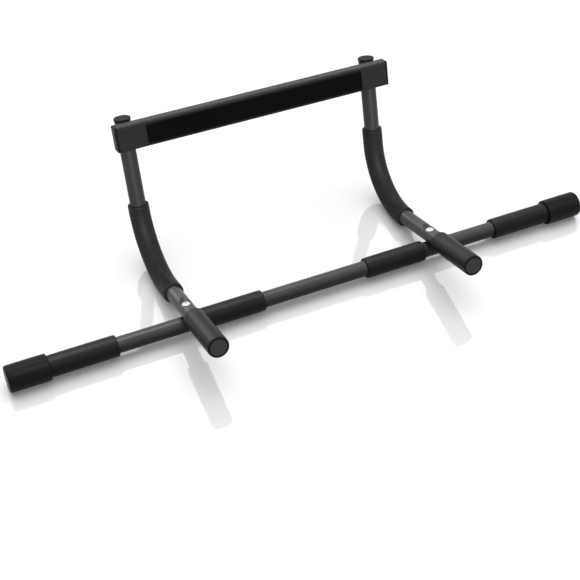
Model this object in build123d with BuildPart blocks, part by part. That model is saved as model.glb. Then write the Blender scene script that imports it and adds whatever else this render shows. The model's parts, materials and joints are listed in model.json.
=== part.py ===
from build123d import *
import os
from math import acos, atan2, cos, degrees, hypot, pi, radians, sin, sqrt

# Doorway pull up bar in millimetres, +Z up. It lies on its two end pads and its two bend grips, as it
# does on a floor. X runs along the long bar, and Y from the handles back to the wall bar.
# "Leaning" sizes are taken from the long bar's axis: x along it, y from the handles to the uprights,
# z along the uprights, which lean back in the row frame.

# Round tube of the long bar and of both curved tubes
tube_radius = 12.5
tube_wall = 1.5
bore_radius = tube_radius - tube_wall

# Foam grips: the same foam everywhere, four short lengths on the bar, two on the handles, two on the bends
grip_radius = 16.65
short_grip_length = 103
bend_grip_length = 185
left_bend_grip_start = 60
right_bend_grip_start = 81.5

# Long bar: a centre tube, two side tubes slid over its spigots, and a pad on each end
bar_half = 485
pad_radius = 20.6
pad_length = 61.5
pad_end_wall = 6
pad_outer_rounding = 3.5
pad_inner_rounding = 1.5
bar_joint = 172
spigot_length = 62
spigot_radius = bore_radius - 0.1
spigot_bore_radius = spigot_radius - tube_wall
inner_grip_start = 88

# Curved tubes: a handle in front, a bend, and an upright behind the wall bar
crossing_x = 207.5
crossing_height = 24
handle_reach = 134
bend_start = 84
bend_radius = 97.5
upright_y = bend_start + bend_radius
bend_top = crossing_height + bend_radius
upright_top = 270
plug_flange = 3
plug_stem_length = 14
cap_radius = 13.2
cap_flange = 2.7
cap_rounding = 0.8

# Wall bar across the front of the uprights, with a rubber strip on its face
wall_bar_half = 230
wall_bar_depth = 20
wall_bar_height = 40
wall_bar_corner = 3
wall_bar_back = upright_y - tube_radius
wall_bar_face = wall_bar_back - wall_bar_depth
wall_bar_y = wall_bar_back - wall_bar_depth / 2
wall_bar_z = upright_top - wall_bar_height / 2
end_plug_flange = 4
end_plug_rounding = 1.9
end_plug_stem_length = 10
strip_half = 181
strip_height = 30
strip_thickness = 3.5
strip_rounding = 1

# M6 fasteners
bolt_radius = 3
bolt_hole_radius = 3.25
bolt_head_radius = 6.5
bolt_head_height = 3.2
bolt_head_flat = 2.6
bolt_head_rim = 0.8
socket_size = 4
socket_depth = 2
nut_size = 10
nut_height = 4.5
bolt_tip = 0.6
washer_radius = 7
washer_thickness = 1.5
washer_blank = 6

# Seat pressed into the top of each curved tube for the crossing bolt's head
seat_height = crossing_height + 8
seat_radius = 7.4
seat_mouth_width = 23
seat_mouth_length = 34

# The lean that lets the end pads and the bend grips touch one floor
lean = degrees(
    acos((bend_radius + grip_radius - pad_radius) / hypot(bend_start, bend_top)) - atan2(bend_start, bend_top)
)


def floor_y(y, z):
    """Distance behind the long bar's axis, along the floor, of a point given by its leaning y and z."""
    return y * cos(radians(lean)) + z * sin(radians(lean))


# The long bar's place on the floor, which centres the whole part on the origin from front to back
front = floor_y(-handle_reach, crossing_height - grip_radius)
back = floor_y(upright_y + cap_radius, upright_top + cap_flange - cap_rounding)
bar_y = -(front + back) / 2

lying = Location((0, bar_y, pad_radius), (-lean, 0, 0))


def leaning(plane):
    """A plane of the leaning frame, at its place in the row frame."""
    return Plane(lying * plane.location)


section = leaning(Plane.YZ)  # across the long bar: back, up, and +X as its normal
level = leaning(Plane.XY)  # along the long bar and the handles, with the uprights as its normal
upright = leaning(Plane.XZ)  # along the long bar and the uprights, facing the handles
up_axis = Axis(level.origin, level.z_dir)
front_axis = Axis(upright.origin, upright.z_dir)

sides = (("left", -1), ("right", 1))


def save(piece, node):
    """Label a finished piece and write it as the STEP file of its node."""
    piece.part.label = node
    export_step(piece.part, f"parts/{node}.step")


def bent_route(x, first_y, last_z):
    """Centre line of a curved tube, from first_y on the straight run to last_z on the upright."""
    with BuildLine(section.offset(x)) as route:
        Line((first_y, crossing_height), (bend_start, crossing_height))
        CenterArc((bend_start, bend_top), bend_radius, -90, 90)
        Line((upright_y, bend_top), (upright_y, last_z))
    return route.line


def sweep_round(route, radius, mode=Mode.ADD):
    """Sweep a circle along a route in the part that is being built."""
    with BuildSketch(Plane(origin=route @ 0, z_dir=route % 0)) as disc:
        Circle(radius)
    sweep(disc.sketch, path=route, mode=mode)


def press_seat(x, wall):
    """Cut the bolt seat's pocket, grown by a wall so that tube and bore keep one thickness."""
    with BuildSketch(level.offset(seat_height - wall)) as seat:
        with Locations((x, 0)):
            Circle(seat_radius + wall)
    with BuildSketch(level.offset(crossing_height + tube_radius)) as mouth:
        with Locations((x, 0)):
            Ellipse(seat_mouth_width / 2 + wall, seat_mouth_length / 2 + wall)
    loft([seat.sketch, mouth.sketch], mode=Mode.SUBTRACT)


def press_saddle(x, wall):
    """Cut the shallow saddle by which a curved tube sits on the long bar."""
    with BuildSketch(section.offset(x)) as saddle:
        Circle(tube_radius + wall)
    extrude(saddle.sketch, amount=2 * tube_radius, both=True, mode=Mode.SUBTRACT)


def add_bolt(seat, length):
    """Button head bolt with a hexagon socket. The seat plane is under the head and faces out of it."""
    with BuildSketch(Plane(origin=seat.origin, x_dir=seat.x_dir, z_dir=-seat.y_dir)) as profile:
        with BuildLine():
            Polyline(
                (0, bolt_head_height),
                (0, -length),
                (bolt_radius, -length),
                (bolt_radius, 0),
                (bolt_head_radius, 0),
                (bolt_head_radius, bolt_head_rim),
            )
            RadiusArc((bolt_head_radius, bolt_head_rim), (bolt_head_flat, bolt_head_height), -bolt_head_radius)
            Line((bolt_head_flat, bolt_head_height), (0, bolt_head_height))
        make_face()
    revolve(profile.sketch, axis=Axis(seat.origin, seat.z_dir))
    with BuildSketch(seat.offset(bolt_head_height)) as socket:
        RegularPolygon(socket_size / 2, 6, major_radius=False)
    extrude(socket.sketch, amount=-socket_depth, mode=Mode.SUBTRACT)


def add_nut(face):
    """Hexagon nut that stands on a plane."""
    with BuildSketch(face) as hexagon:
        RegularPolygon(nut_size / 2, 6, major_radius=False)
        Circle(bolt_radius, mode=Mode.SUBTRACT)
    extrude(hexagon.sketch, amount=nut_height)


def add_washer(face):
    """Washer blank whose outer face is a plane, long enough for a tube to be cut out of its back."""
    with BuildSketch(face) as ring:
        Circle(washer_radius)
        Circle(bolt_hole_radius, mode=Mode.SUBTRACT)
    extrude(ring.sketch, amount=-washer_blank)


def add_bar_grip(side, start):
    """Short foam grip on the long bar, from start outwards."""
    with BuildSketch(section.offset(side * start)) as ring:
        Circle(grip_radius)
        Circle(tube_radius, mode=Mode.SUBTRACT)
    extrude(ring.sketch, amount=side * short_grip_length)


def seat_planes(plane):
    """A plane moved to both crossings."""
    return [plane.shift_origin(plane.from_local_coords(Vector(side * crossing_x, 0, 0))) for _, side in sides]


os.makedirs("parts", exist_ok=True)

# Long bar

with BuildPart() as centre_tube:
    with BuildSketch(section):
        Circle(tube_radius)
    extrude(amount=bar_joint, both=True)
    with BuildSketch(section):
        Circle(spigot_radius)
    extrude(amount=bar_joint + spigot_length, both=True)
    with BuildSketch(section):
        Circle(spigot_bore_radius)
    extrude(amount=bar_joint + spigot_length, both=True, mode=Mode.SUBTRACT)
    with BuildSketch(section):
        Circle(bore_radius)
    extrude(amount=bar_joint - 2 * tube_wall, both=True, mode=Mode.SUBTRACT)
    with BuildSketch(level):
        with Locations((-crossing_x, 0), (crossing_x, 0)):
            Circle(bolt_hole_radius)
    extrude(amount=tube_radius, mode=Mode.SUBTRACT)
save(centre_tube, "centre_tube")

for name, side in sides:
    with BuildPart() as side_tube:
        with BuildSketch(section.offset(side * bar_joint)):
            Circle(tube_radius)
            Circle(bore_radius, mode=Mode.SUBTRACT)
        extrude(amount=side * (bar_half - pad_end_wall - bar_joint))
        with BuildSketch(level):
            with Locations((side * crossing_x, 0)):
                Circle(bolt_hole_radius)
        extrude(amount=tube_radius, mode=Mode.SUBTRACT)
    save(side_tube, f"{name}_side_tube")

    with BuildPart() as inner_grip:
        add_bar_grip(side, inner_grip_start)
    save(inner_grip, f"{name}_inner_grip")

    with BuildPart() as outer_grip:
        add_bar_grip(side, bar_half - pad_length - short_grip_length)
    save(outer_grip, f"{name}_outer_grip")

    with BuildPart() as end_pad:
        with BuildSketch(section.offset(side * bar_half)):
            Circle(pad_radius)
        extrude(amount=-side * pad_length)
        rims = end_pad.edges().filter_by(GeomType.CIRCLE).sort_by(Axis.X)
        fillet(rims[-1 if side > 0 else 0], pad_outer_rounding)
        rims = end_pad.edges().filter_by(GeomType.CIRCLE).sort_by(Axis.X)
        fillet(rims[0 if side > 0 else -1], pad_inner_rounding)
        with BuildSketch(section.offset(side * (bar_half - pad_length))):
            Circle(tube_radius)
        extrude(amount=side * (pad_length - pad_end_wall), mode=Mode.SUBTRACT)
    save(end_pad, f"{name}_end_pad")

# Curved tubes with their grips, plugs and caps

for name, side in sides:
    x = side * crossing_x
    tube_route = bent_route(x, plug_flange - handle_reach, upright_top)

    with BuildPart() as curved_bore:
        sweep_round(tube_route, bore_radius)
        press_saddle(x, tube_wall)
        press_seat(x, tube_wall)

    with BuildPart() as curved_tube:
        sweep_round(tube_route, tube_radius)
        press_saddle(x, 0)
        press_seat(x, 0)
        add(curved_bore.part, mode=Mode.SUBTRACT)
        with BuildSketch(level):
            with Locations((x, 0)):
                Circle(bolt_hole_radius)
        extrude(amount=seat_height, mode=Mode.SUBTRACT)
        with BuildSketch(upright.offset(-upright_y)):
            with Locations((x, wall_bar_z)):
                Circle(bolt_hole_radius)
        extrude(amount=tube_radius, both=True, mode=Mode.SUBTRACT)
    save(curved_tube, f"{name}_curved_tube")

    with BuildPart() as handle_grip:
        with BuildSketch(upright.offset(handle_reach)):
            with Locations((x, crossing_height)):
                Circle(grip_radius)
                Circle(tube_radius, mode=Mode.SUBTRACT)
        extrude(amount=-short_grip_length)
    save(handle_grip, f"{name}_handle_grip")

    with BuildPart() as handle_plug:
        with BuildSketch(upright.offset(handle_reach)):
            with Locations((x, crossing_height)):
                Circle(tube_radius)
        extrude(amount=-plug_flange)
        with BuildSketch(upright.offset(handle_reach - plug_flange)):
            with Locations((x, crossing_height)):
                Circle(bore_radius)
        extrude(amount=-plug_stem_length)
    save(handle_plug, f"{name}_handle_plug")

    with BuildPart() as top_cap:
        with BuildSketch(level.offset(upright_top)):
            with Locations((x, upright_y)):
                Circle(cap_radius)
        extrude(amount=cap_flange)
        fillet(top_cap.faces().sort_by(up_axis)[-1].edges(), cap_rounding)
        with BuildSketch(level.offset(upright_top)):
            with Locations((x, upright_y)):
                Circle(bore_radius)
        extrude(amount=-plug_stem_length)
    save(top_cap, f"{name}_top_cap")

bend_length = bend_radius * pi / 2
for (name, side), start in zip(sides, (left_bend_grip_start, right_bend_grip_start)):
    rise = start + bend_grip_length - bend_start - bend_length
    grip_route = bent_route(side * crossing_x, start, bend_top + rise)
    with BuildPart() as bend_grip:
        sweep_round(grip_route, grip_radius)
        sweep_round(grip_route, tube_radius, mode=Mode.SUBTRACT)
    save(bend_grip, f"{name}_bend_grip")

# Wall bar

with BuildPart() as wall_bar:
    with BuildSketch(section):
        with Locations((wall_bar_y, wall_bar_z)):
            RectangleRounded(wall_bar_depth, wall_bar_height, wall_bar_corner)
            RectangleRounded(
                wall_bar_depth - 2 * tube_wall,
                wall_bar_height - 2 * tube_wall,
                wall_bar_corner - tube_wall,
                mode=Mode.SUBTRACT,
            )
    extrude(amount=wall_bar_half - end_plug_flange, both=True)
    with BuildSketch(upright.offset(-wall_bar_back)):
        with Locations((-crossing_x, wall_bar_z), (crossing_x, wall_bar_z)):
            Circle(bolt_hole_radius)
    extrude(amount=tube_wall, mode=Mode.SUBTRACT)
save(wall_bar, "wall_bar")

for name, side in sides:
    with BuildPart() as wall_bar_plug:
        with BuildSketch(section.offset(side * wall_bar_half)):
            with Locations((wall_bar_y, wall_bar_z)):
                RectangleRounded(wall_bar_depth, wall_bar_height, wall_bar_corner)
        extrude(amount=-side * end_plug_flange)
        outer_face = wall_bar_plug.faces().sort_by(Axis.X)[-1 if side > 0 else 0]
        fillet(outer_face.edges(), end_plug_rounding)
        with BuildSketch(section.offset(side * (wall_bar_half - end_plug_flange))):
            with Locations((wall_bar_y, wall_bar_z)):
                RectangleRounded(
                    wall_bar_depth - 2 * tube_wall,
                    wall_bar_height - 2 * tube_wall,
                    wall_bar_corner - tube_wall,
                )
        extrude(amount=-side * end_plug_stem_length)
    save(wall_bar_plug, f"{name}_wall_bar_plug")

with BuildPart() as wall_strip:
    with BuildSketch(upright.offset(-wall_bar_face)):
        with Locations((0, wall_bar_z)):
            Rectangle(2 * strip_half, strip_height)
    extrude(amount=strip_thickness)
    fillet(wall_strip.faces().sort_by(front_axis)[-1].edges(), strip_rounding)
save(wall_strip, "wall_strip")

# Crossing fasteners: the head in the pressed seat, the nut welded under the roof of the spigot's bore

crossing_nut_top = sqrt(spigot_bore_radius**2 - (nut_size / 2) ** 2)
crossing_bolt_length = seat_height - crossing_nut_top + nut_height + bolt_tip

with BuildPart() as crossing_bolts:
    for seat in seat_planes(level.offset(seat_height)):
        add_bolt(seat, crossing_bolt_length)
save(crossing_bolts, "crossing_bolts")

with BuildPart() as crossing_nuts:
    for seat in seat_planes(level.offset(crossing_nut_top - nut_height)):
        add_nut(seat)
save(crossing_nuts, "crossing_nuts")

# Wall bar fasteners: the heads behind the uprights, the captive nuts inside the wall bar

rear = leaning(Plane(origin=(0, 0, wall_bar_z), x_dir=(1, 0, 0), z_dir=(0, 1, 0)))
inner_wall = wall_bar_back - tube_wall
rear_washer_face = upright_y + tube_radius + washer_thickness

with BuildPart() as wall_bar_bolts:
    for seat in seat_planes(rear.offset(rear_washer_face)):
        add_bolt(seat, rear_washer_face - inner_wall + nut_height + bolt_tip)
save(wall_bar_bolts, "wall_bar_bolts")

with BuildPart() as wall_bar_washers:
    for seat in seat_planes(rear.offset(rear_washer_face)):
        add_washer(seat)
    with BuildSketch(level):
        with Locations((-crossing_x, upright_y), (crossing_x, upright_y)):
            Circle(tube_radius)
    extrude(amount=upright_top, mode=Mode.SUBTRACT)
save(wall_bar_washers, "wall_bar_washers")

with BuildPart() as wall_bar_nuts:
    for seat in seat_planes(rear.offset(inner_wall - nut_height)):
        add_nut(seat)
save(wall_bar_nuts, "wall_bar_nuts")
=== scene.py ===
"""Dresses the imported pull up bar: foam, materials, floor, light and camera. Metres, row frame."""

import json
import math

import bmesh
import bpy
from mathutils import Matrix, Vector, noise


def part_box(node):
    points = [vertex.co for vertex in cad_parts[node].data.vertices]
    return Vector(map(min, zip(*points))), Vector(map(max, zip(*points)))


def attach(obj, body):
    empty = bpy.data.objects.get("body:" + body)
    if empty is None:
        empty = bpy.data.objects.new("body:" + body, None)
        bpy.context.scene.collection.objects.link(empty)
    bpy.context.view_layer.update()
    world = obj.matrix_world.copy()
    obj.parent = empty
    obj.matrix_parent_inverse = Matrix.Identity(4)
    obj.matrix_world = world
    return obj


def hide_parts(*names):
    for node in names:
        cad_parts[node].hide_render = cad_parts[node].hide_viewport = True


MM = 0.001
SIDES = ("left", "right")

# The sizes that the foam pieces share with part.py
TUBE_RADIUS = 12.5 * MM
GRIP_RADIUS = 16.65 * MM
GRIP_ROUNDING = 1.5 * MM
SHORT_GRIP_LENGTH = 103.0 * MM
BEND_GRIP_LENGTH = 185.0 * MM
LEFT_BEND_GRIP_START = 60.0 * MM
RIGHT_BEND_GRIP_START = 81.5 * MM
HANDLE_GRIP_END = 31.0 * MM
CROSSING_HEIGHT = 24.0 * MM
BEND_START = 84.0 * MM
BEND_RADIUS = 97.5 * MM
PAD_RADIUS = 20.6 * MM
PAD_OUTER_ROUNDING = 3.5 * MM
PAD_INNER_ROUNDING = 1.5 * MM
PAD_END_WALL = 6.0 * MM

# How the foam is meshed and how far its skin wanders
AROUND = 96
STEP = 1.6 * MM
BORE_STEP = 5.0 * MM
END_DISC_SHARES = (0.75, 0.5, 0.25)
ROUNDING_STEPS = 5
BORE_CLEARANCE = 0.05 * MM
SKIN_LOSS = 0.06 * MM
SKIN_WAVE = 0.11 * MM
SKIN_WAVE_PER_METRE = 38.0
SKIN_DIMPLE = 0.035 * MM
SKIN_DIMPLE_PER_METRE = 240.0
END_SQUEEZE = 0.22 * MM
END_SQUEEZE_REACH = 5.0 * MM
BEND_PUCKER = 0.16 * MM
BEND_PUCKER_PITCH = 9.0 * MM
BEND_PUCKER_DRIFT = 2.5
BEND_PUCKER_SHARPNESS = 3


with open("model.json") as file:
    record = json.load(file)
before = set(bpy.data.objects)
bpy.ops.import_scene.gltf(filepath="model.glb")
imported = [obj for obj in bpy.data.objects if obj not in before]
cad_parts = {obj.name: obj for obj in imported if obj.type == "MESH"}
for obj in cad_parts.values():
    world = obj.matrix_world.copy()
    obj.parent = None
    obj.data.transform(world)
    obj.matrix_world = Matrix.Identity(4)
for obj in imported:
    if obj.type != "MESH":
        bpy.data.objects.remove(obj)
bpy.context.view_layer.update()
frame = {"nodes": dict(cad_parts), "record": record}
nodes = frame["nodes"]


def mount(name):
    """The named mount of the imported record."""
    return next(m for m in frame["record"]["mounts"] if m["name"] == name)


def leaning_frame():
    """Matrix from the frame's own axes, at the middle of the long bar, to the row frame."""
    low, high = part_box("left_end_pad")
    centre = (low + high) / 2
    up = -Vector(mount("trim_rest")["axis"])
    along = Vector((1.0, 0.0, 0.0))
    back = up.cross(along)
    turn = Matrix((along, back, up)).transposed()
    return Matrix.Translation((0.0, centre.y, centre.z)) @ turn.to_4x4()


LEAN = leaning_frame()


# ---- Foam pieces ---------------------------------------------------------------------------


def straight_route(start, end):
    """A straight route between two points of the leaning frame, with its length."""
    start = Vector(start)
    end = Vector(end)
    length = (end - start).length
    along = (end - start) / length
    side = Vector((0.0, 0.0, 1.0))

    def at(s):
        return start + along * s, along, side

    return at, length


def bend_route(x, start, length):
    """The curved tube's centre line from a distance past the crossing."""
    corner = BEND_RADIUS * math.pi / 2
    centre = Vector((x, BEND_START, CROSSING_HEIGHT + BEND_RADIUS))

    def at(s):
        run = start + s
        turn = min(max((run - BEND_START) / BEND_RADIUS, 0.0), math.pi / 2)
        along = Vector((0.0, math.cos(turn), math.sin(turn)))
        side = Vector((0.0, -math.sin(turn), math.cos(turn)))
        spare = min(run - BEND_START, 0.0) + max(run - BEND_START - corner, 0.0)
        return centre - side * BEND_RADIUS + along * spare, along, side

    return at, length


def rounded_profile(length, outer, bore, near_rounding, far_rounding, end_wall):
    """Points (distance, radius, skin) from the bore's mouth over the outside and back to it.

    Skin is 1 where the foam's skin wanders in full and 0 where it keeps to the plain shape.
    """
    points = [(0.0, bore, 0.0), (0.0, (bore + outer - near_rounding) / 2, 0.0)]
    for step in range(ROUNDING_STEPS + 1):
        turn = math.pi / 2 * step / ROUNDING_STEPS
        s = near_rounding * (1 - math.cos(turn))
        points.append((s, outer - near_rounding * (1 - math.sin(turn)), math.sin(turn)))
    run = length - near_rounding - far_rounding
    count = max(2, round(run / STEP))
    for step in range(1, count):
        points.append((near_rounding + run * step / count, outer, 1.0))
    for step in range(ROUNDING_STEPS + 1):
        turn = math.pi / 2 * step / ROUNDING_STEPS
        s = length - far_rounding * (1 - math.sin(turn))
        points.append((s, outer - far_rounding * (1 - math.cos(turn)), math.cos(turn)))
    if end_wall:
        for share in END_DISC_SHARES:
            points.append((length, (outer - far_rounding) * share, 0.0))
        points.append((length, 0.0, 0.0))
        points.append((length - end_wall, 0.0, 0.0))
        points.append((length - end_wall, bore, 0.0))
    else:
        points.append((length, (bore + outer - far_rounding) / 2, 0.0))
        points.append((length, bore, 0.0))
        back = length / math.ceil(length / BORE_STEP)
        s = length - back
        while s > back / 2:
            points.append((s, bore, 0.0))
            s -= back
    return points


def skin_offset(point, seed, s, length, inside):
    """How far the foam's skin stands off its plain cylinder, always inwards."""
    wave = noise.noise(point * SKIN_WAVE_PER_METRE + seed)
    dimple = noise.noise(point * SKIN_DIMPLE_PER_METRE + seed)
    from_end = min(s, length - s)
    squeeze = math.exp(-((from_end / END_SQUEEZE_REACH) ** 2))
    pucker = 0.0
    if inside > 0:
        phase = 2 * math.pi * s / BEND_PUCKER_PITCH + BEND_PUCKER_DRIFT * wave
        pucker = inside * (0.5 - 0.5 * math.cos(phase))
    return -(
        SKIN_LOSS
        + SKIN_WAVE * (0.5 + wave) * 0.5
        + SKIN_DIMPLE * (0.5 + dimple)
        + END_SQUEEZE * squeeze
        + BEND_PUCKER * pucker
    )


def foam_sleeve(name, route, outer, roundings, material, end_wall=0.0, bends=False):
    """A closed foam sleeve, or a cap where it has an end wall, round a route of the leaning frame."""
    at, length = route
    bore = TUBE_RADIUS + BORE_CLEARANCE
    seed = Vector((sum(ord(letter) for letter in name), len(name), 0.0))
    mesh = bpy.data.meshes.new(name)
    shape = bmesh.new()
    rings = []
    for s, radius, skin in rounded_profile(length, outer, bore, *roundings, end_wall):
        centre, along, side = at(s)
        across = along.cross(side)
        if radius == 0.0:
            rings.append([shape.verts.new(LEAN @ centre)])
            continue
        ring = []
        for spoke in range(AROUND):
            turn = 2 * math.pi * spoke / AROUND
            out = side * math.cos(turn) + across * math.sin(turn)
            reach = radius
            if skin > 0:
                inside = max(0.0, math.cos(turn)) ** BEND_PUCKER_SHARPNESS if bends else 0.0
                reach += skin * skin_offset(centre + out * radius, seed, s, length, inside)
            ring.append(shape.verts.new(LEAN @ (centre + out * reach)))
        rings.append(ring)
    if not end_wall:
        rings.append(rings[0])
    for first, second in zip(rings, rings[1:]):
        join_rings(shape, first, second)
    if end_wall:
        join_rings(shape, rings[-1], rings[0])
    bmesh.ops.recalc_face_normals(shape, faces=shape.faces)
    shape.to_mesh(mesh)
    shape.free()
    piece = bpy.data.objects.new(name, mesh)
    bpy.context.scene.collection.objects.link(piece)
    mesh.shade_smooth()
    mesh.materials.append(material)
    finish_foam(piece)


def join_rings(shape, first, second):
    """Faces between two rings, either of which may be a single point."""
    if len(first) == 1 and len(second) == 1:
        return
    count = max(len(first), len(second))
    for spoke in range(count):
        after = (spoke + 1) % count
        corners = [first[spoke % len(first)], first[after % len(first)]]
        corners += [second[after % len(second)], second[spoke % len(second)]]
        corners = list(dict.fromkeys(corners))
        shape.faces.new(corners)


def finish_foam(piece):
    """Attaches a foam piece to the root body and hides the CAD node of the same name, for which it
    stands.
    """
    node = piece.name.replace("_foam", "")
    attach(piece, "root")
    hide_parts(node)


def bar_span(node):
    """Where a node lies along the long bar."""
    low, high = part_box(node)
    return low.x, high.x


# ---- Materials -----------------------------------------------------------------------------

# The part of a noise's range that is stretched over a colour's or a roughness's whole range
NOISE_LOW = 0.3
NOISE_HIGH = 0.7

# Shades, roughness and shine of each finish, and of the darker copies that paint shade on some pieces.
# Every reflection shows the white studio, so a low shine keeps the blacks deep.
STRAIGHT_COAT = {
    "dark": (0.042, 0.042, 0.043),
    "light": (0.050, 0.050, 0.051),
    "smooth": 0.25,
    "rough": 0.33,
    "shine": 0.1,
}
# A darker copy of the straight tubes' coat: painted shade on the curved tubes, which their own lamps
# then light up again.
SHADED_CURVED_COAT = {
    "dark": (0.033, 0.033, 0.034),
    "light": (0.040, 0.040, 0.041),
    "smooth": 0.28,
    "rough": 0.36,
    "shine": 0.1,
}
FLAT_COAT = {
    "dark": (0.044, 0.044, 0.045),
    "light": (0.050, 0.050, 0.051),
    "smooth": 0.36,
    "rough": 0.48,
    "shine": 0.1,
}
GRIP_FOAM = {
    "dark": (0.011, 0.011, 0.0115),
    "light": (0.015, 0.015, 0.0155),
    "smooth": 0.36,
    "rough": 0.44,
    "shine": 0.08,
}
BEND_FOAM = {
    "dark": (0.010, 0.010, 0.0105),
    "light": (0.014, 0.014, 0.0145),
    "smooth": 0.44,
    "rough": 0.54,
    "shine": 0.08,
}
PAD_FOAM = {
    "dark": (0.006, 0.006, 0.0065),
    "light": (0.009, 0.009, 0.0095),
    "smooth": 0.36,
    "rough": 0.44,
    "shine": 0.08,
}
STRIP_RUBBER = {
    "dark": (0.0045, 0.0045, 0.005),
    "light": (0.009, 0.009, 0.0095),
    "smooth": 0.34,
    "rough": 0.46,
    "shine": 0.04,
}
PLUG_PLASTIC = {
    "dark": (0.036, 0.037, 0.039),
    "light": (0.046, 0.047, 0.049),
    "smooth": 0.46,
    "rough": 0.6,
    "shine": 0.1,
}
# A darker copy of the plug plastic: the plastic's own black plus painted shade on the top caps and the
# wall bar's end plugs.
SHADED_CAP_PLASTIC = {
    "dark": (0.011, 0.011, 0.0115),
    "light": (0.016, 0.016, 0.0165),
    "smooth": 0.46,
    "rough": 0.6,
    "shine": 0.1,
}
BRIGHT_ZINC = {
    "dark": (0.78, 0.78, 0.79),
    "light": (0.9, 0.9, 0.905),
    "smooth": 0.45,
    "rough": 0.6,
}
# A darker copy of the bolts' zinc: painted shade that dims the glints of the wall bar's bolts.
SHADED_ZINC = {
    "dark": (0.22, 0.22, 0.225),
    "light": (0.3, 0.3, 0.305),
    "smooth": 0.42,
    "rough": 0.56,
}


class Shader:
    """A Principled material and the nodes that drive it."""

    def __init__(self, name, **sockets):
        self.material = bpy.data.materials.new(name)
        self.material.use_nodes = True
        self.tree = self.material.node_tree
        self.surface = self.tree.nodes["Principled BSDF"]
        for socket, value in sockets.items():
            self.surface.inputs[socket.replace("_", " ")].default_value = value
        self.place = self.add("ShaderNodeTexCoord").outputs["Object"]

    def add(self, kind, **settings):
        """A new node of the material's tree."""
        node = self.tree.nodes.new(kind)
        for setting, value in settings.items():
            setattr(node, setting, value)
        return node

    def link(self, source, target):
        """Joins an output to an input."""
        self.tree.links.new(source, target)

    def noise(self, per_metre, detail=2.0, roughness=0.5, stretch=None):
        """Soft noise from 0 to 1 with so many waves per metre."""
        node = self.add("ShaderNodeTexNoise")
        node.inputs["Scale"].default_value = per_metre
        node.inputs["Detail"].default_value = detail
        node.inputs["Roughness"].default_value = roughness
        self.link(self.stretched(stretch) if stretch else self.place, node.inputs["Vector"])
        return node.outputs["Fac"]

    def cells(self, per_metre):
        """Distance to the nearest of many scattered points, for foam pores."""
        node = self.add("ShaderNodeTexVoronoi", feature="F1")
        node.inputs["Scale"].default_value = per_metre
        self.link(self.place, node.inputs["Vector"])
        return node.outputs["Distance"]

    def stretched(self, stretch):
        """The object's own coordinates, scaled by axis."""
        node = self.add("ShaderNodeMapping")
        node.inputs["Scale"].default_value = stretch
        self.link(self.place, node.inputs["Vector"])
        return node.outputs["Vector"]

    def spread(self, source, low, high):
        """A noise stretched over the range from low to high."""
        node = self.add("ShaderNodeMapRange")
        node.inputs["From Min"].default_value = NOISE_LOW
        node.inputs["From Max"].default_value = NOISE_HIGH
        node.inputs["To Min"].default_value = low
        node.inputs["To Max"].default_value = high
        self.link(source, node.inputs["Value"])
        return node.outputs["Result"]

    def colours(self, source, dark, light):
        """Sets the base colour between two shades."""
        node = self.add("ShaderNodeValToRGB")
        stops = ((NOISE_LOW, dark), (NOISE_HIGH, light))
        for element, (position, colour) in zip(node.color_ramp.elements, stops):
            element.position = position
            element.color = (*colour, 1.0)
        self.link(source, node.inputs["Fac"])
        self.link(node.outputs["Color"], self.surface.inputs["Base Color"])

    def blend(self, first, second, share):
        """Two values mixed, with the second's share."""
        node = self.add("ShaderNodeMix", data_type="FLOAT")
        node.inputs["Factor"].default_value = share
        self.link(first, node.inputs["A"])
        self.link(second, node.inputs["B"])
        return node.outputs["Result"]

    def roughness(self, source, smooth, rough):
        """Sets the roughness between two values."""
        self.link(self.spread(source, smooth, rough), self.surface.inputs["Roughness"])

    def bump(self, height, depth):
        """A relief of the given depth in metres."""
        node = self.add("ShaderNodeBump")
        node.inputs["Strength"].default_value = 1.0
        node.inputs["Distance"].default_value = depth
        self.link(height, node.inputs["Height"])
        self.link(node.outputs["Normal"], self.surface.inputs["Normal"])


def powder_coat(name, dark, light, smooth, rough, shine):
    """Satin powder coat: fine orange peel, faint mottling and handling marks."""
    shader = Shader(name, Specular_IOR_Level=shine)
    mottle = shader.noise(per_metre=26.0, detail=4.0)
    shader.colours(mottle, dark, light)
    rub = shader.noise(per_metre=75.0, detail=5.0, stretch=(0.35, 1.0, 1.0))
    shader.roughness(rub, smooth, rough)
    peel = shader.noise(per_metre=1500.0, detail=2.0)
    ripple = shader.noise(per_metre=420.0, detail=1.0)
    shader.bump(shader.blend(peel, ripple, share=0.35), depth=0.035 * MM)
    return shader.material


def closed_cell_foam(name, dark, light, smooth, rough, shine):
    """Matt foam: tiny closed cells under a thin skin, with duller patches."""
    shader = Shader(name, Specular_IOR_Level=shine)
    patches = shader.noise(per_metre=48.0, detail=5.0, roughness=0.6)
    shader.colours(patches, dark, light)
    dull = shader.noise(per_metre=110.0, detail=4.0)
    shader.roughness(dull, smooth, rough)
    pores = shader.cells(per_metre=1500.0)
    skin = shader.noise(per_metre=700.0, detail=3.0, roughness=0.6)
    shader.bump(shader.blend(pores, skin, share=0.5), depth=0.10 * MM)
    return shader.material


def strip_rubber(name, dark, light, smooth, rough, shine):
    """Smooth extruded rubber with faint lines along its length."""
    shader = Shader(name, Specular_IOR_Level=shine)
    tone = shader.noise(per_metre=14.0, detail=3.0)
    shader.colours(tone, dark, light)
    lines = shader.noise(per_metre=900.0, detail=2.0, stretch=(0.02, 1.0, 1.0))
    shader.roughness(lines, smooth, rough)
    shader.bump(lines, depth=0.02 * MM)
    return shader.material


def plug_plastic(name, dark, light, smooth, rough, shine):
    """Moulded black plastic with a spark eroded grain."""
    shader = Shader(name, Specular_IOR_Level=shine)
    tone = shader.noise(per_metre=60.0, detail=3.0)
    shader.colours(tone, dark, light)
    grain = shader.noise(per_metre=2200.0, detail=3.0)
    shader.roughness(grain, smooth, rough)
    shader.bump(grain, depth=0.03 * MM)
    return shader.material


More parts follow.
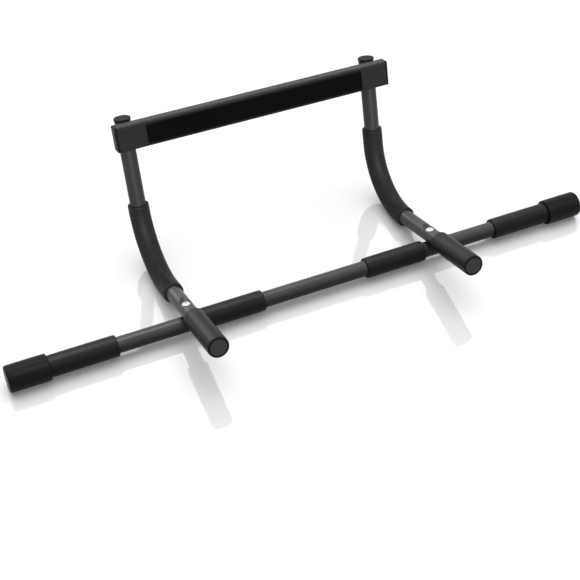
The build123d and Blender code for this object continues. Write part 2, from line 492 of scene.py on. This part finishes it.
def zinc_steel(name, dark, light, smooth, rough):
    """Zinc plating with fine drawing marks and a faint bloom."""
    shader = Shader(name, Metallic=1.0)
    bloom = shader.noise(per_metre=180.0, detail=4.0)
    shader.colours(bloom, dark, light)
    marks = shader.noise(per_metre=1800.0, detail=2.0, stretch=(1.0, 1.0, 0.1))
    shader.roughness(marks, smooth, rough)
    shader.bump(marks, depth=0.01 * MM)
    return shader.material


# ---- Floor and world -----------------------------------------------------------------------

FLOOR_HALF = 40.0
# How the floor looks to seen rays: matt and mirroring share, the mirror's roughness, and a faint glow
FLOOR_MATT = 0.87
FLOOR_MIRROR = 0.22
FLOOR_MIRROR_ROUGHNESS = 0.02
FLOOR_GLOW = 0.1
# Its grey for the light that it throws back on matt surfaces
FLOOR_DIM = 0.1

# The world's level where it is seen, and that of the dim room whose light falls on matt surfaces
WORLD_SEEN = 1.0
WORLD_DIM = 0.02

# Soft lights of the studio, far off: name, azimuth and elevation of the middle, half widths of the
# edge and of the even core, all in degrees, and level. Azimuth 0 lies towards +Y and 90 towards +X.
SOFTBOXES = (
    ("back", 5.0, 60.0, 40.0, 12.0, 1.2),
    ("back_right", 60.0, 58.0, 40.0, 12.0, 0.9),
    ("top", 0.0, 90.0, 52.0, 18.0, 1.03),
    ("backdrop", 10.0, 8.0, 42.0, 12.0, 0.15),
    ("left_fill", 225.0, 6.0, 38.0, 12.0, 0.9),
    ("right_fill", 110.0, 8.0, 42.0, 12.0, 0.34),
)


def seen_ray(tree):
    """1 for rays from the camera, in a reflection or through glass. 0 for light on matt surfaces."""
    path = tree.nodes.new("ShaderNodeLightPath")
    seen = path.outputs["Is Camera Ray"]
    for ray in ("Is Transmission Ray", "Is Glossy Ray"):
        either = tree.nodes.new("ShaderNodeMath")
        either.operation = "MAXIMUM"
        tree.links.new(seen, either.inputs[0])
        tree.links.new(path.outputs[ray], either.inputs[1])
        seen = either.outputs[0]
    return seen


def make_floor():
    """A pale floor that keeps the object's shadow and a faint reflection."""
    half = FLOOR_HALF
    mesh = bpy.data.meshes.new("studio_floor")
    corners = [(-half, -half, 0), (half, -half, 0), (half, half, 0), (-half, half, 0)]
    mesh.from_pydata(corners, [], [(0, 1, 2, 3)])
    floor = bpy.data.objects.new("studio_floor", mesh)
    bpy.context.scene.collection.objects.link(floor)
    mesh.materials.append(floor_material())


def grey_shader(tree, kind, grey):
    """A surface shader of one even grey."""
    node = tree.nodes.new(kind)
    node.inputs["Color"].default_value = (grey, grey, grey, 1.0)
    return node


def added(tree, first, second):
    """The sum of two shaders."""
    node = tree.nodes.new("ShaderNodeAddShader")
    tree.links.new(first.outputs[0], node.inputs[0])
    tree.links.new(second.outputs[0], node.inputs[1])
    return node


def floor_material():
    """White and slightly mirroring where it is seen, and dim for the light that it throws back."""
    material = bpy.data.materials.new("pale_floor")
    material.use_nodes = True
    tree = material.node_tree
    tree.nodes.clear()
    matt = grey_shader(tree, "ShaderNodeBsdfDiffuse", FLOOR_MATT)
    mirror = grey_shader(tree, "ShaderNodeBsdfAnisotropic", FLOOR_MIRROR)
    mirror.inputs["Roughness"].default_value = FLOOR_MIRROR_ROUGHNESS
    glow = tree.nodes.new("ShaderNodeEmission")
    glow.inputs["Strength"].default_value = FLOOR_GLOW
    seen = added(tree, added(tree, matt, mirror), glow)
    dim = grey_shader(tree, "ShaderNodeBsdfDiffuse", FLOOR_DIM)
    choose = tree.nodes.new("ShaderNodeMixShader")
    tree.links.new(seen_ray(tree), choose.inputs[0])
    tree.links.new(dim.outputs[0], choose.inputs[1])
    tree.links.new(seen.outputs[0], choose.inputs[2])
    output = tree.nodes.new("ShaderNodeOutputMaterial")
    tree.links.new(choose.outputs[0], output.inputs["Surface"])
    return material


def towards(azimuth, elevation):
    """Unit vector from the object, with azimuth 0 towards +Y and 90 towards +X."""
    a = math.radians(azimuth)
    e = math.radians(elevation)
    return Vector((math.sin(a) * math.cos(e), math.cos(a) * math.cos(e), math.sin(e)))


def softbox(tree, direction, name, azimuth, elevation, edge, core, strength):
    """The level of one softbox, which falls off smoothly from its core to its edge."""
    facing = tree.nodes.new("ShaderNodeVectorMath")
    facing.operation = "DOT_PRODUCT"
    facing.inputs[1].default_value = towards(azimuth, elevation)
    tree.links.new(direction, facing.inputs[0])
    glow = tree.nodes.new("ShaderNodeMapRange")
    glow.name = name
    glow.interpolation_type = "SMOOTHSTEP"
    glow.inputs["From Min"].default_value = math.cos(math.radians(edge))
    glow.inputs["From Max"].default_value = math.cos(math.radians(core))
    glow.inputs["To Min"].default_value = 0.0
    glow.inputs["To Max"].default_value = strength
    tree.links.new(facing.outputs["Value"], glow.inputs["Value"])
    return glow.outputs["Result"]


def make_world():
    """White where it is seen. The light on matt surfaces comes from a dim room with softboxes."""
    world = bpy.data.worlds.new("studio")
    bpy.context.scene.world = world
    world.use_nodes = True
    tree = world.node_tree
    direction = tree.nodes.new("ShaderNodeTexCoord").outputs["Generated"]
    level = None
    for box in SOFTBOXES:
        plus = tree.nodes.new("ShaderNodeMath")
        plus.operation = "ADD"
        plus.inputs[1].default_value = WORLD_DIM
        tree.links.new(softbox(tree, direction, *box), plus.inputs[0])
        if level is not None:
            tree.links.new(level, plus.inputs[1])
        level = plus.outputs[0]
    choose = tree.nodes.new("ShaderNodeMix")
    tree.links.new(seen_ray(tree), choose.inputs["Factor"])
    tree.links.new(level, choose.inputs["A"])
    choose.inputs["B"].default_value = WORLD_SEEN
    background = tree.nodes["Background"]
    background.inputs["Color"].default_value = (1.0, 1.0, 1.0, 1.0)
    tree.links.new(choose.outputs["Result"], background.inputs["Strength"])


# ---- Lamps ---------------------------------------------------------------------------------

# Highlights for some kinds of piece: name, azimuth, elevation, strength, spread in degrees, kinds.
# Azimuth 0 lies towards +Y and 90 towards +X.
LAMPS = (
    ("bar_light", 5.0, 70.0, 3.8, 30.0, ("bar_tube",)),
    ("bar_grip_light", 5.0, 68.0, 4.0, 36.0, ("bar_foam",)),
    ("bar_pad_light", 5.0, 60.0, 1.2, 36.0, ("pad_foam",)),
    ("front_light", 192.0, 44.0, 1.0, 24.0, ("curved_tube", "handle_plug")),
    ("wall_front_light", 192.0, 44.0, 0.65, 36.0, ("wall",)),
    ("bend_light", 188.0, 40.0, 3.2, 32.0, ("bend_foam",)),
    ("back_light", 350.0, 50.0, 1.4, 22.0, ("curved_tube", "handle_plug")),
    ("wall_light", 350.0, 50.0, 1.4, 26.0, ("wall", "top_cap")),
    ("bend_back_light", 16.0, 54.0, 1.2, 24.0, ("bend_foam",)),
    ("crossing_light", 348.0, 56.0, 1.4, 26.0, ("curved_tube",)),
    ("handle_light", 345.0, 62.0, 1.2, 30.0, ("handle_foam",)),
    ("low_back_light", 350.0, 20.0, 2.2, 44.0, ("curved_tube", "handle_foam")),
    ("pad_light", 150.0, 68.0, 1.2, 22.0, ("pad_foam",)),
    ("upright_light", 186.0, 8.0, 2.6, 24.0, ("curved_tube",)),
    ("bend_low_light", 190.0, 18.0, 1.8, 32.0, ("bend_foam",)),
    ("plug_light", 182.0, 5.0, 0.9, 40.0, ("handle_plug",)),
)

# What the pieces of each kind are called after left_ and right_
KIND_ENDINGS = {
    "bar_foam": ("inner_grip_foam", "outer_grip_foam"),
    "curved_tube": ("curved_tube",),
    "handle_plug": ("handle_plug",),
    "top_cap": ("top_cap",),
    "bend_foam": ("bend_grip_foam",),
    "handle_foam": ("handle_grip_foam",),
    "pad_foam": ("end_pad_foam",),
}


def pieces_by_kind():
    """The names of the pieces of each kind that a lamp can be kept to."""
    kinds = {
        "wall": [name for name in nodes if "wall_bar" in name],
        "bar_tube": ["centre_tube", "left_side_tube", "right_side_tube"],
    }
    for kind, endings in KIND_ENDINGS.items():
        kinds[kind] = [f"{side}_{ending}" for side in SIDES for ending in endings]
    return kinds


def soft_sun(name, azimuth, elevation, strength, spread):
    """A soft lamp far off."""
    lamp = bpy.data.lights.new(name, "SUN")
    lamp.energy = strength
    lamp.angle = math.radians(spread)
    holder = bpy.data.objects.new(name, lamp)
    bpy.context.scene.collection.objects.link(holder)
    holder.rotation_mode = "QUATERNION"
    holder.rotation_quaternion = towards(azimuth, elevation).to_track_quat("Z", "Y")
    return holder


def light_only(lamp, names):
    """Keeps a lamp to the named pieces."""
    lit = bpy.data.collections.new(lamp.name + "_pieces")
    for name in names:
        lit.objects.link(bpy.data.objects[name])
    lamp.light_linking.receiver_collection = lit


def add_lamps():
    """Adds the highlights to the even light of the softboxes."""
    kinds = pieces_by_kind()
    for name, azimuth, elevation, strength, spread, lit_kinds in LAMPS:
        lamp = soft_sun(name, azimuth, elevation, strength, spread)
        light_only(lamp, [piece for kind in lit_kinds for piece in kinds[kind]])


# ---- Camera --------------------------------------------------------------------------------

# The view: aim and distance in metres, angles in degrees, lens and sensor in millimetres, and shift in
# shares of the sensor. Azimuth 0 looks along +Y.
CAMERA_AIM = Vector((0.0315, -0.0594, 0.0))
CAMERA_DISTANCE = 1.9510
CAMERA_AZIMUTH = -27.227
CAMERA_ELEVATION = 42.552
CAMERA_ROLL = 1.820
CAMERA_LENS = 76.768
CAMERA_SENSOR = 36.0
CAMERA_SHIFT = (-0.0690, -0.0090)


def make_camera():
    """Looks down at the object from in front and a little to the left."""
    lens = bpy.data.cameras.new("camera")
    lens.lens = CAMERA_LENS
    lens.sensor_width = CAMERA_SENSOR
    lens.shift_x, lens.shift_y = CAMERA_SHIFT
    camera = bpy.data.objects.new("camera", lens)
    bpy.context.scene.collection.objects.link(camera)
    a = math.radians(CAMERA_AZIMUTH)
    e = math.radians(CAMERA_ELEVATION)
    back = Vector((math.sin(a) * math.cos(e), -math.cos(a) * math.cos(e), math.sin(e)))
    upright = Vector((0.0, 0.0, 1.0))
    right = upright.cross(back).normalized()
    up = back.cross(right)
    level = Matrix((right, up, back)).transposed()
    roll = Matrix.Rotation(math.radians(CAMERA_ROLL), 3, "Z")
    turn = (level @ roll).to_4x4()
    camera.matrix_world = Matrix.Translation(CAMERA_AIM + back * CAMERA_DISTANCE) @ turn
    bpy.context.scene.camera = camera


# ---- Assembly ------------------------------------------------------------------------------


def dress_nodes():
    """Gives each CAD node that stays in view its material."""
    straight = powder_coat("powder_coat_straight", **STRAIGHT_COAT)
    curved = powder_coat("powder_coat_curved_shaded", **SHADED_CURVED_COAT)
    flat = powder_coat("powder_coat_flat", **FLAT_COAT)
    rubber = strip_rubber("strip_rubber", **STRIP_RUBBER)
    plastic = plug_plastic("plug_plastic", **PLUG_PLASTIC)
    shaded_cap_plastic = plug_plastic("shaded_cap_plastic", **SHADED_CAP_PLASTIC)
    zinc = zinc_steel("zinc_steel", **BRIGHT_ZINC)
    shaded_zinc = zinc_steel("shaded_zinc_steel", **SHADED_ZINC)
    by_slot = {
        "powder_coat": straight,
        "strip_rubber": rubber,
        "plug_plastic": plastic,
        "zinc_steel": zinc,
    }
    slots = {row["node"]: row["material_slot"] for row in frame["record"]["subparts"]}
    for name, node in nodes.items():
        material = by_slot.get(slots[name])
        if name == "wall_bar":
            material = flat
        # The curved tubes take the darker copy of the coat: painted shade.
        if name.endswith("curved_tube"):
            material = curved
        # Top caps and the wall bar's end plugs take the darker copy of the plastic: painted shade.
        if name.endswith(("top_cap", "wall_bar_plug")):
            material = shaded_cap_plastic
        # The wall bar's bolts take the darker copy of the zinc: painted shade.
        if name == "wall_bar_bolts":
            material = shaded_zinc
        if material is None:
            continue
        for slot in node.material_slots:
            slot.material = material


def add_foam():
    """The eight grips and the two end pads."""
    foam = closed_cell_foam("bar_grip_foam", **GRIP_FOAM)
    bend_foam = closed_cell_foam("curved_grip_foam", **BEND_FOAM)
    dense = closed_cell_foam("pad_foam", **PAD_FOAM)
    grip_ends = (GRIP_ROUNDING, GRIP_ROUNDING)
    for side in SIDES:
        for kind in ("inner", "outer"):
            node = f"{side}_{kind}_grip"
            low, high = bar_span(node)
            route = straight_route((low, 0.0, 0.0), (high, 0.0, 0.0))
            foam_sleeve(node + "_foam", route, GRIP_RADIUS, grip_ends, foam)
        low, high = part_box(f"{side}_handle_grip")
        x = (low.x + high.x) / 2
        near = (x, -HANDLE_GRIP_END, CROSSING_HEIGHT)
        far = (x, -HANDLE_GRIP_END - SHORT_GRIP_LENGTH, CROSSING_HEIGHT)
        route = straight_route(near, far)
        foam_sleeve(f"{side}_handle_grip_foam", route, GRIP_RADIUS, grip_ends, foam)
        start = LEFT_BEND_GRIP_START if side == "left" else RIGHT_BEND_GRIP_START
        route = bend_route(x, start, BEND_GRIP_LENGTH)
        name = f"{side}_bend_grip_foam"
        foam_sleeve(name, route, GRIP_RADIUS, grip_ends, bend_foam, bends=True)
        node = f"{side}_end_pad"
        low, high = bar_span(node)
        inner, outer = (high, low) if side == "left" else (low, high)
        route = straight_route((inner, 0.0, 0.0), (outer, 0.0, 0.0))
        ends = (PAD_INNER_ROUNDING, PAD_OUTER_ROUNDING)
        name = node + "_foam"
        foam_sleeve(name, route, PAD_RADIUS, ends, dense, end_wall=PAD_END_WALL)


dress_nodes()
add_foam()
make_floor()
make_world()
add_lamps()
make_camera()
bpy.context.scene.view_settings.view_transform = "Standard"
